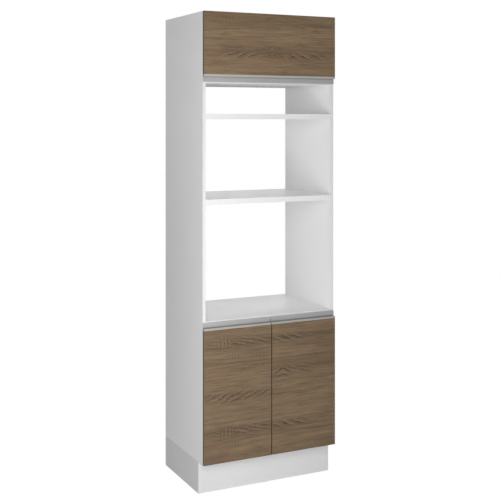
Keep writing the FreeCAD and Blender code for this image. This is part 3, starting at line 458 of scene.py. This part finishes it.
def faded(tree, away, depth=1.0, rate=1.0):
    """A depth that is full in the middle of a figure and fades about its reach."""
    fade = maths(tree, "EXPONENT", maths(tree, "MULTIPLY", away, -rate))
    return maths(tree, "MULTIPLY", fade, depth)


def stroke_level(tree, kind, across, above, slope=0.0):
    """The level that the strokes follow: upright, along a slope or over an arch."""
    if kind == "ticks":
        return across
    run = maths(tree, "MULTIPLY", across, slope)
    if kind == "ripples":
        return maths(tree, "SUBTRACT", above, run)
    crown_rounding = millimetres(6)
    bow = maths(tree, "SQRT", maths(tree, "MULTIPLY_ADD", run, run, crown_rounding ** 2))
    return maths(tree, "ADD", above, bow)


def stroke_pair(tree, level, spacing, depth):
    """Dark strokes along a level, and the light strokes beside them."""
    turn = maths(tree, "MULTIPLY", level, 2 * pi / millimetres(spacing))
    beside = maths(tree, "SINE", maths(tree, "SUBTRACT", turn, 1.7))
    return (ranged(tree, maths(tree, "SINE", turn), -0.25, -0.85, 0.0, depth),
            ranged(tree, beside, -0.72, -0.98, 0.0, depth))


def figure_layers(tree, x, z, wobble, tables):
    """The dark strokes, light strokes, shades and glows of all figures of a front."""
    layers = {"dark": 0.0, "light": 0.0, "shades": 0.0, "glows": 0.0}

    def lay(layer, value):
        layers[layer] = maths(tree, "MAXIMUM", value, layers[layer])

    rows = [(kind, row) for figures in tables for kind in figures for row in figures[kind]]
    for kind, (middle, reach, *drawing, depth) in rows:
        across, above, away = from_middle(tree, x, z, middle, reach)
        if kind in ("shades", "glows"):
            lay(kind, faded(tree, away, depth))
            continue
        *slope, spacing = drawing
        level = stroke_level(tree, kind, across, above, *slope)
        unsteady = maths(tree, "ADD", level, wobble)
        window = faded(tree, away)
        for layer, stroke in zip(("dark", "light"), stroke_pair(tree, unsteady, spacing, depth)):
            lay(layer, maths(tree, "MULTIPLY", stroke, window))
        if kind != "ticks":
            lay("shades", faded(tree, away, depth, rate=0.4))
    return layers


def print_noises(tree, x, y, z, sizes):
    """The wobble of the figures, and the noises that the print is made of."""
    def drawn_out(height, along, across, detail, roughness=0.5):
        """A noise that is long along the grain."""
        return noise(tree, stretched(tree, x, y, height, along, across), 1, detail, roughness)

    def either_way(value, reach):
        """A noise as a shift of up to a reach, up or down."""
        return maths(tree, "MULTIPLY", maths(tree, "SUBTRACT", value, 0.5), 2 * reach)

    wobble = either_way(drawn_out(z, 15, 20, 4, 0.66), sizes.figure_wobble)
    swing = either_way(drawn_out(z, 1.1, 4.5, 0), sizes.grain_swing)
    grain = maths(tree, "ADD", maths(tree, "ADD", z, swing), maths(tree, "MULTIPLY", wobble, 0.03))
    return {
        "wobble": wobble,
        "bands": drawn_out(grain, 0.8, 11, 2),
        "lines": drawn_out(grain, 1.7, 1 / sizes.grain_line, 4, 0.66),
        "dashes": drawn_out(grain, 9, 300, 2, 0.6),
        "fibres": drawn_out(grain, 16, 420, 3, 0.6),
        "pores": drawn_out(z, 55, 700, 1),
        "wear": drawn_out(z, 70, 150, 2),
        "warmth": noise(tree, stretched(tree, x, y, z, 5, 15), 1.3, 3),
    }


def print_coats(tree, noises, layers, drawn, colours, tone):
    """The coats over the ground of the print, in their order: the share and the colour."""
    lines, warmth, dashes = noises["lines"], noises["warmth"], noises["dashes"]
    dark, pale = tinted(colours.oak_dark, tone), tinted(colours.oak_pale, tone)
    return (
        (ranged(tree, noises["bands"], 0.36, 0.64), tinted(colours.oak_light, tone)),
        (ranged(tree, warmth, 0.50, 0.68, 0.0, 0.42), tinted(colours.oak_red, tone)),
        (ranged(tree, warmth, 0.50, 0.32, 0.0, 0.42), tinted(colours.oak_olive, tone)),
        (maths(tree, "MULTIPLY", layers["glows"], 0.32), pale),
        (maths(tree, "MULTIPLY", layers["shades"], 0.44), dark),
        (maths(tree, "MULTIPLY", drawn, 0.40), dark),
        (ranged(tree, lines, 0.54, 0.70, 0.0, 0.28), pale),
        (ranged(tree, dashes, 0.46, 0.32, 0.0, 0.56), dark),
        (ranged(tree, dashes, 0.57, 0.68, 0.0, 0.34), pale),
        (maths(tree, "MULTIPLY", layers["light"], 0.75), pale),
        (layers["dark"], tinted(dark, 0.7)),
        (ranged(tree, noises["fibres"], 0.35, 0.65, 0.0, 0.26), dark),
        (ranged(tree, noises["pores"], 0.36, 0.28, 0.0, 0.5), dark),
    )


def oak_print(name, colours, sizes, tables, tone):
    """Wood print with its grain along X, and figures where the grain swings quickly."""
    material, tree, surface, place = new_material(name, 0.5, sheen=0.35)
    x, y, z = split(tree, place)
    noises = print_noises(tree, x, y, z, sizes)
    layers = figure_layers(tree, x, z, noises["wobble"], tables)
    worn = ranged(tree, noises["wear"], 0.30, 0.58)
    for strokes in ("dark", "light"):
        layers[strokes] = maths(tree, "MULTIPLY", layers[strokes], worn)
    drawn = ranged(tree, noises["lines"], 0.50, 0.34)
    printed = tinted(colours.oak_middle, tone)
    for share, coat in print_coats(tree, noises, layers, drawn, colours, tone):
        printed = mixed(tree, share, printed, coat)
    sunk = maths(tree, "MULTIPLY_ADD", drawn, 0.5, layers["dark"])
    relief = maths(tree, "SUBTRACT", maths(tree, "MULTIPLY", noises["fibres"], 0.5), sunk)
    finish_with(tree, surface, printed, relief, millimetres(0.12),
                ranged(tree, noises["lines"], 0.3, 0.7, 0.58, 0.46))
    return material


# Metal, plastic and lacquer
def brushed_handle(name, base, lip_tone, lip_end, way):
    """Satin metal with fine lines along X, a lip of its own tone, and painted shade on the flange
    in the groove behind the lip.

    The painted shade in the groove starts where the lip ends, and runs up (1) or down (-1) the
    flange.
    """
    material, tree, surface, place = new_material(name, 0.48, 0.45)
    x, y, z = split(tree, place)
    both = maths(tree, "ADD", z, y)
    strokes = noise(tree, stretched(tree, x, y, both, 4, 2600), 1, 2)
    cloud = noise(tree, place, 14, 3)
    brushed = mixed(tree, strokes, tinted(base, 0.90), tinted(base, 1.08))
    behind_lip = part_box("door_left_panel")[0].y + millimetres(1)
    groove_full, groove_end = millimetres(2), millimetres(6)
    lip_colour = [min(c * lip_tone * warmer, 1) for c, warmer in zip(base, (1.03, 1.0, 0.97))]
    lip = mixed(tree, maths(tree, "LESS_THAN", y, behind_lip), brushed, lip_colour)
    # Painted shade: the flange is darkened just past the lip, where the lip would shade the
    # groove.
    past = maths(tree, "MULTIPLY", maths(tree, "SUBTRACT", z, lip_end), way)
    groove = maths(tree, "MULTIPLY", ranged(tree, past, groove_end, groove_full),
                   maths(tree, "GREATER_THAN", y, behind_lip))
    groove_shaded = mixed(tree, maths(tree, "MULTIPLY", groove, 0.45), lip, tinted(base, 0.4))
    finish_with(tree, surface, groove_shaded, strokes, millimetres(0.01),
                ranged(tree, cloud, 0.3, 0.7, 0.43, 0.53))
    return material


def plated_metal(name, base, roughness, grain=700.0, mottling=0.05):
    """Pressed and plated steel: a mottled gloss and a faint pressed texture."""
    material, tree, surface, place = new_material(name, roughness, 1.0)
    mottle = noise(tree, place, 110, 3)
    tone = mixed(tree, mottle, tinted(base, 1 - mottling), tinted(base, 1 + mottling))
    finish_with(tree, surface, tone, noise(tree, place, grain, 2), millimetres(0.004),
                ranged(tree, mottle, 0.3, 0.7, roughness - mottling, roughness + mottling))
    return material


def moulded(name, base, roughness):
    """Moulded or lacquered piece with a fine surface."""
    material, tree, surface, place = new_material(name, roughness)
    tone = mixed(tree, noise(tree, place, 30, 3), tinted(base, 0.93), tinted(base, 1.05))
    finish_with(tree, surface, tone, noise(tree, place, 1800, 2), millimetres(0.012),
                ranged(tree, noise(tree, place, 70, 3), 0.3, 0.7, roughness - 0.06,
                       roughness + 0.06))
    return material


# CAD nodes
def dress(names, material):
    """Gives CAD nodes a material."""
    for name in names:
        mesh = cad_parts[name].data
        mesh.materials.clear()
        mesh.materials.append(material)


def soften(names, width):
    """Rounds the sharp edges of board-like CAD nodes a little."""
    for name in names:
        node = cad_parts[name]
        weld = node.modifiers.new("joined", "WELD")
        weld.merge_threshold = millimetres(0.001)
        rounding = node.modifiers.new("rounded", "BEVEL")
        rounding.width = width
        rounding.segments = 2
        rounding.limit_method = "ANGLE"
        rounding.angle_limit = radians(50)
        rounding.harden_normals = True


# Small fittings
def new_piece(name, shape, material, body):
    """A finished bmesh as a piece that rides on a body."""
    mesh = bpy.data.meshes.new(name)
    bmesh.ops.recalc_face_normals(shape, faces=shape.faces)
    shape.to_mesh(mesh)
    shape.free()
    piece = bpy.data.objects.new(name, mesh)
    bpy.context.scene.collection.objects.link(piece)
    piece.data.materials.append(material)
    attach(piece, body)


def corners_in(geometry):
    """The vertices among what a bmesh operator gives back."""
    return [part for part in geometry if isinstance(part, bmesh.types.BMVert)]


def screw_head(radius, rise):
    """A pan head, standing on the XY plane.

    A cross recess is sunk into it, but the faces it was sunk from still lie over it, so the
    head looks plain.
    """
    rounding, depth = rise * 0.7, rise * 0.6
    arm, slot = radius * 0.62, radius * 0.15
    shape = bmesh.new()
    rim = bmesh.ops.create_circle(shape, cap_ends=True, segments=20, radius=radius)["verts"]
    flat = list({face for vert in rim for face in vert.link_faces})
    top = bmesh.ops.extrude_face_region(shape, geom=flat)["geom"]
    bmesh.ops.translate(shape, vec=(0, 0, rise), verts=corners_in(top))
    upper = [e for e in shape.edges if all(v.co.z > rise / 2 for v in e.verts)]
    bmesh.ops.bevel(shape, geom=upper, offset=rounding, segments=3, profile=0.5,
                    affect="EDGES", material=-1)

    def faces_up(face):
        return face.normal.z > 0.9

    for axis in (Vector((1, 0, 0)), Vector((0, 1, 0))):
        for reach in (-arm, -slot, slot, arm):
            crown = [f for f in shape.faces if faces_up(f)]
            cut = crown + list({e for f in crown for e in f.edges}) + list(
                {v for f in crown for v in f.verts})
            bmesh.ops.bisect_plane(shape, geom=cut, plane_co=axis * reach, plane_no=axis,
                                   dist=radius * 1e-4)
            shape.normal_update()

    def in_cross(face):
        at = face.calc_center_median()
        across, along = sorted((abs(at.x), abs(at.y)))
        return faces_up(face) and across < slot and along < arm

    recess = bmesh.ops.extrude_face_region(
        shape, geom=[f for f in shape.faces if in_cross(f)])["geom"]
    bmesh.ops.translate(shape, vec=(0, 0, -depth), verts=corners_in(recess))
    return shape


def copied(shape, places):
    """A bmesh copied to several places, as one bmesh."""
    pattern = bpy.data.meshes.new("pattern")
    shape.to_mesh(pattern)
    shape.free()
    whole = bmesh.new()
    for place in places:
        before = set(whole.verts)
        whole.from_mesh(pattern)
        bmesh.ops.transform(whole, matrix=place, verts=[v for v in whole.verts if v not in before])
    bpy.data.meshes.remove(pattern)
    return whole


def facing(place, direction, turn=0.0):
    """A matrix that sets a piece at a place with its Z along a direction."""
    aim = Vector((0, 0, 1)).rotation_difference(Vector(direction)).to_matrix().to_4x4()
    return Matrix.Translation(place) @ aim @ Matrix.Rotation(turn, 4, "Z")


def hinge_places(leaf):
    """The frames of a leaf's two hinges: X inward from the leaf's edge, Y to the front."""
    low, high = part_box(leaf + "_hinge_cups")
    outer_low, outer_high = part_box(leaf + "_edge_bands")
    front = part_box("carcass_edge_bands")[0].y
    half_cup = millimetres(29)
    if leaf == "flap":
        inward, along = Vector((0, 0, -1)), Vector((-1, 0, 0))
        starts = [Vector((x, front, outer_high.z)) for x in (low.x + half_cup, high.x - half_cup)]
    else:
        edge, side = (outer_low.x, 1) if leaf == "door_left" else (outer_high.x, -1)
        inward, along = Vector((side, 0, 0)), Vector((0, 0, -side))
        starts = [Vector((edge, front, z)) for z in (low.z + half_cup, high.z - half_cup)]
    turn = Matrix((inward, Vector((0, -1, 0)), along)).transposed().to_4x4()
    return [Matrix.Translation(start) @ turn for start in starts]


# Operators, one for each group of pieces
class CABINET_OT_boards(bpy.types.Operator):
    """White melamine on the boards and bands, and hardboard on the backs"""
    bl_idname = "cabinet.boards"
    bl_label = "White boards"

    def execute(self, context):
        colours, sizes = context.scene.cabinet_colours, context.scene.cabinet_sizes
        dress(UPRIGHTS_AND_TOP, melamine("white_melamine", colours.melamine, colours.chips))
        # Painted light: the shelves get the lighter melamine tone.
        dress(SHELVES, melamine("shelf_melamine_painted_light", colours.shelf, colours.chips))
        dress(PLINTH_BOARDS, melamine("plinth_melamine", colours.plinth))
        dress(PLINTH_SIDES, melamine("plinth_side_melamine", colours.plinth, colours.chips))
        dress(["carcass_edge_bands"], edge_bands("white_edge_band", colours.white_band,
                                                 colours.lit_shelf_band, colours.leaf_shade_band))
        dress(BACK_PANELS, backed_hardboard("backed_hardboard", colours.melamine,
                                            colours.hardboard))
        dress(["loose_tenons"], straight_grain("beech", colours.beech))
        soften(PLINTH_BOARDS + PLINTH_SIDES, sizes.edge_rounding)
        return {"FINISHED"}


class CABINET_OT_fronts(bpy.types.Operator):
    """Wood print on the doors and the flap, with their bands"""
    bl_idname = "cabinet.fronts"
    bl_label = "Wood print fronts"

    def execute(self, context):
        colours, sizes = context.scene.cabinet_colours, context.scene.cabinet_sizes
        drop = sizes.print_repeat * 1000  # the tables are in millimetres
        doors = (REPEATED_DOOR_FIGURES, lowered(REPEATED_DOOR_FIGURES, drop), DOOR_FIGURES)
        # Painted shade: the doors get the same print toned darker than the flap's, as the
        # softboxes light the doors more.
        dress(["door_left_panel", "door_right_panel"],
              oak_print("oak_print_doors_painted_shade", colours, sizes, doors, tone=0.84))
        dress(["flap_panel"],
              oak_print("oak_print_flap", colours, sizes, (FLAP_FIGURES,), tone=0.98))
        dress([leaf + "_edge_bands" for leaf in LEAVES],
              oak_bands("oak_edge_band", colours.oak_band, colours.oak_outer_band))
        return {"FINISHED"}


class CABINET_OT_handles(bpy.types.Operator):
    """Satin anodised handle profiles"""
    bl_idname = "cabinet.handles"
    bl_label = "Handle profiles"

    def execute(self, context):
        satin = context.scene.cabinet_colours.anodised
        lip = context.scene.cabinet_sizes.handle_lip
        door_edge, flap_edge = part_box("door_left_panel")[1].z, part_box("flap_panel")[0].z
        dress(["door_left_handle", "door_right_handle"],
              brushed_handle("satin_door_handles", tinted(satin, 0.95), lip_tone=0.95,
                             lip_end=door_edge + lip, way=1))
        dress(["flap_handle"],
              brushed_handle("satin_flap_handle", satin, lip_tone=1.1,
                             lip_end=flap_edge - lip, way=-1))
        return {"FINISHED"}


class CABINET_OT_fittings(bpy.types.Operator):
    """Finishes of the hinges, pins, gas strut, brackets, pads and glides"""
    bl_idname = "cabinet.fittings"
    bl_label = "Fittings"

    def execute(self, context):
        colours = context.scene.cabinet_colours
        nickel = plated_metal("nickel_plate", colours.nickel, 0.26)
        zinc = plated_metal("zinc_plate", colours.zinc, 0.40, 380, 0.12)
        for leaf in LEAVES:
            dress([f"{leaf}_hinge_{part}" for part in ("cups", "links", "arms", "plates")],
                  nickel)
            dress([leaf + "_bumpers"], moulded(leaf + "_pads", colours.soft_pad, 0.6))
        dress(["shelf_pins", "strut_rod"], nickel)
        dress(["strut_side_bracket", "strut_flap_bracket", "wall_brackets"], zinc)
        dress(["strut_tube"], moulded("black_lacquer", colours.lacquer, 0.28))
        dress(["plinth_glides"], moulded("glide_plastic", colours.plastic, 0.45))
        return {"FINISHED"}


class CABINET_OT_screws(bpy.types.Operator):
    """Screws of the hinges, the strut brackets, the wall brackets and the plinth blocks"""
    bl_idname = "cabinet.screws"
    bl_label = "Screws"

    def execute(self, context):
        sizes = context.scene.cabinet_sizes
        steel = plated_metal("screw_steel", context.scene.cabinet_colours.zinc, 0.3)
        head, rise = sizes.screw_head, sizes.screw_rise

        def put(name, places, body):
            new_piece(name, copied(screw_head(head, rise), places), steel, body)

        for leaf in LEAVES:
            cups, plates, arms = self.hinges(leaf)
            put(leaf + "_cup_screws", cups, leaf)
            put(leaf + "_plate_screws", plates, "carcass")
            put(leaf + "_arm_screws", arms, "carcass")
        put("strut_side_screws", self.side_bracket(), "carcass")
        put("strut_flap_screws", self.flap_bracket(), "flap")
        put("wall_bracket_screws", self.wall_brackets(), "carcass")
        put("plinth_block_screws", self.plinth_blocks(), "carcass")
        return {"FINISHED"}

    def hinges(self, leaf):
        """Screws through the ears of the cups, the wings of the plates and the arms."""
        cup_middle, cup_face, ear = millimetres(31), millimetres(0.8), millimetres(24)
        plate_face, plate_middle, wing = millimetres(17.5), millimetres(-37), millimetres(19)
        arm_face, arm_front, arm_rear = millimetres(28), millimetres(-24), millimetres(-46)
        frames, ways = hinge_places(leaf), (-1, 1)
        cups = [at @ facing((cup_middle, cup_face, way * ear), (0, -1, 0))
                for at in frames for way in ways]
        plates = [at @ facing((plate_face, plate_middle, way * wing), (1, 0, 0), turn=0.4)
                  for at in frames for way in ways]
        arms = [at @ facing((arm_face, ahead, 0), (1, 0, 0), turn=0.8)
                for at in frames for ahead in (arm_front, arm_rear)]
        return cups, plates, arms

    def side_bracket(self):
        low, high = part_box("strut_side_bracket")
        middle, inset = (low + high) / 2, millimetres(6)
        return [facing((high.x - BRACKET_SHEET, y, middle.z), (-1, 0, 0), turn=0.5)
                for y in (low.y + inset, high.y - inset)]

    def flap_bracket(self):
        low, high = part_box("strut_flap_bracket")
        middle, first, second = (low + high) / 2, millimetres(6), millimetres(18)
        return [facing((low.x + along, low.y + BRACKET_SHEET, middle.z), (0, 1, 0), turn=0.3)
                for along in (first, second)]

    def wall_brackets(self):
        low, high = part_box("wall_brackets")
        half_wide, drop = millimetres(15), millimetres(26)
        return [facing((x, high.y - drop, high.z - BRACKET_SHEET), (0, 0, -1), turn=0.7)
                for x in (low.x + half_wide, high.x - half_wide)]

    def plinth_blocks(self):
        """Two screws through each inner face of the four blocks."""
        low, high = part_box("plinth_corner_blocks")
        block, from_end, stagger = millimetres(30), millimetres(25), millimetres(10)
        places = []
        for z in (low.z + from_end, high.z - from_end):
            for x, inward_x in ((low.x, 1), (high.x, -1)):
                for y, inward_y in ((low.y, 1), (high.y, -1)):
                    places.append(facing((x + inward_x * block, y + inward_y * block / 2, z),
                                         (inward_x, 0, 0)))
                    places.append(facing((x + inward_x * block / 2, y + inward_y * block,
                                          z + stagger), (0, inward_y, 0)))
        return places


class CABINET_OT_nails(bpy.types.Operator):
    """Nails round the hardboard backs"""
    bl_idname = "cabinet.nails"
    bl_label = "Nails"

    def execute(self, context):
        sizes = context.scene.cabinet_sizes
        steel = plated_metal("nail_steel", context.scene.cabinet_colours.zinc, 0.45)
        inset, thick, proud = millimetres(3.5), millimetres(0.9), millimetres(0.05)
        places = []
        for panel in BACK_PANELS:
            low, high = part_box(panel)
            wide, tall = high.x - low.x - 2 * inset, high.z - low.z - 2 * inset
            rows, columns = round(tall / sizes.nail_pitch), round(wide / sizes.nail_pitch)
            spots = [(low.x + inset + wide * i / columns, z) for i in range(columns + 1)
                     for z in (low.z + inset, high.z - inset)]
            spots += [(x, low.z + inset + tall * i / rows) for i in range(1, rows)
                      for x in (low.x + inset, high.x - inset)]
            places += [facing((x, high.y + proud - thick / 2, z), (0, 1, 0)) for x, z in spots]
        nail = bmesh.new()
        bmesh.ops.create_cone(nail, cap_ends=True, segments=12, radius1=sizes.nail_head,
                              radius2=sizes.nail_head * 0.85, depth=thick)
        new_piece("back_panel_nails", copied(nail, places), steel, "carcass")
        return {"FINISHED"}


class CABINET_OT_stage(bpy.types.Operator):
    """Camera, floor and light"""
    bl_idname = "cabinet.stage"
    bl_label = "Studio"

    def execute(self, context):
        scene, studio = context.scene, context.scene.cabinet_studio
        scene.view_settings.view_transform = "Standard"
        self.camera(scene, studio)
        self.world(scene, studio)
        self.softbox(scene, studio, "main_softbox", studio.main_place, studio.main_power)
        self.softbox(scene, studio, "low_softbox", studio.low_place, studio.low_power)
        self.floor(scene, studio, scene.cabinet_colours.floor)
        return {"FINISHED"}

    def camera(self, scene, studio):
        data = bpy.data.cameras.new("camera")
        data.lens = studio.focal_length
        data.shift_y = studio.horizon
        camera = bpy.data.objects.new("camera", data)
        camera.location = studio.camera_place
        camera.rotation_euler = (radians(90), 0, studio.camera_turn)
        scene.collection.objects.link(camera)
        scene.camera = camera

    def world(self, scene, studio):
        """Even light for the object, and a white backdrop for the camera."""
        world = bpy.data.worlds.new("studio")
        world.use_nodes = True
        tree = world.node_tree
        even = next(n for n in tree.nodes if n.type == "BACKGROUND")
        even.inputs["Color"].default_value = (1, 1, 1, 1)
        way = add_node(tree, "ShaderNodeTexCoord").outputs["Generated"]
        right, rear, top = split(tree, way)
        front = maths(tree, "MULTIPLY", rear, -1.0)
        fills = ((right, studio.right_fill), (rear, studio.rear_fill),
                 (front, studio.front_fill), (top, studio.top_fill))
        total = 0.0
        for towards, strength in fills:
            spread = maths(tree, "POWER", maths(tree, "MAXIMUM", towards, 0.0), 2.0)
            total = maths(tree, "MULTIPLY_ADD", spread, strength, total)
        tree.links.new(total, even.inputs["Strength"])
        backdrop = add_node(tree, "ShaderNodeBackground", {"Color": (1, 1, 1, 1), "Strength": 1.0})
        shown_white(tree, even, backdrop, "OUTPUT_WORLD")
        scene.world = world

    def softbox(self, scene, studio, name, place, watts):
        data = bpy.data.lights.new(name, "AREA")
        data.shape = "RECTANGLE"
        data.size, data.size_y = studio.softbox_width, studio.softbox_height
        data.energy = watts
        light = bpy.data.objects.new(name, data)
        light.location = place
        aim = Vector((0, 0, light.location.z)) - light.location
        light.rotation_euler = aim.to_track_quat("-Z", "Y").to_euler()
        scene.collection.objects.link(light)

    def floor(self, scene, studio, tone):
        """A pale floor that looks as white as the backdrop and lights the object softly."""
        shape = bmesh.new()
        bmesh.ops.create_circle(shape, cap_ends=True, segments=96, radius=studio.floor_radius)
        mesh = bpy.data.meshes.new("floor")
        shape.to_mesh(mesh)
        shape.free()
        floor = bpy.data.objects.new("floor", mesh)
        scene.collection.objects.link(floor)
        material = bpy.data.materials.new("floor")
        material.use_nodes = True
        tree = material.node_tree
        paint = next(n for n in tree.nodes if n.type == "BSDF_PRINCIPLED")
        paint.inputs["Roughness"].default_value = 0.9
        paint.inputs["Base Color"].default_value = (*tone, 1)
        white = add_node(tree, "ShaderNodeEmission", {"Color": (1, 1, 1, 1), "Strength": 1.0})
        shown_white(tree, paint, white, "OUTPUT_MATERIAL")
        mesh.materials.append(material)


STEPS = (CABINET_OT_stage, CABINET_OT_boards, CABINET_OT_fronts, CABINET_OT_handles,
         CABINET_OT_fittings, CABINET_OT_screws, CABINET_OT_nails)
GROUPS = {"cabinet_sizes": CabinetSizes, "cabinet_colours": CabinetColours,
          "cabinet_studio": CabinetStudio}


class CABINET_PT_panel(bpy.types.Panel):
    """The cabinet's steps and values"""
    bl_label = "Tall oven cabinet"
    bl_idname = "CABINET_PT_panel"
    bl_space_type = "VIEW_3D"
    bl_region_type = "UI"
    bl_category = "Cabinet"

    def draw(self, context):
        for step in STEPS:
            self.layout.operator(step.bl_idname)
        for group in GROUPS:
            values = getattr(context.scene, group)
            for name in values.__annotations__:
                self.layout.prop(values, name)


def register():
    for kind in (*GROUPS.values(), *STEPS, CABINET_PT_panel):
        bpy.utils.register_class(kind)
    for name, group in GROUPS.items():
        setattr(bpy.types.Scene, name, PointerProperty(type=group))


def unregister():
    for name in GROUPS:
        delattr(bpy.types.Scene, name)
    for kind in (CABINET_PT_panel, *reversed(STEPS), *GROUPS.values()):
        bpy.utils.unregister_class(kind)


def main():
    register()
    for step in STEPS:
        area, name = step.bl_idname.split(".")
        getattr(getattr(bpy.ops, area), name)()


if __name__ == "__main__":
    main()
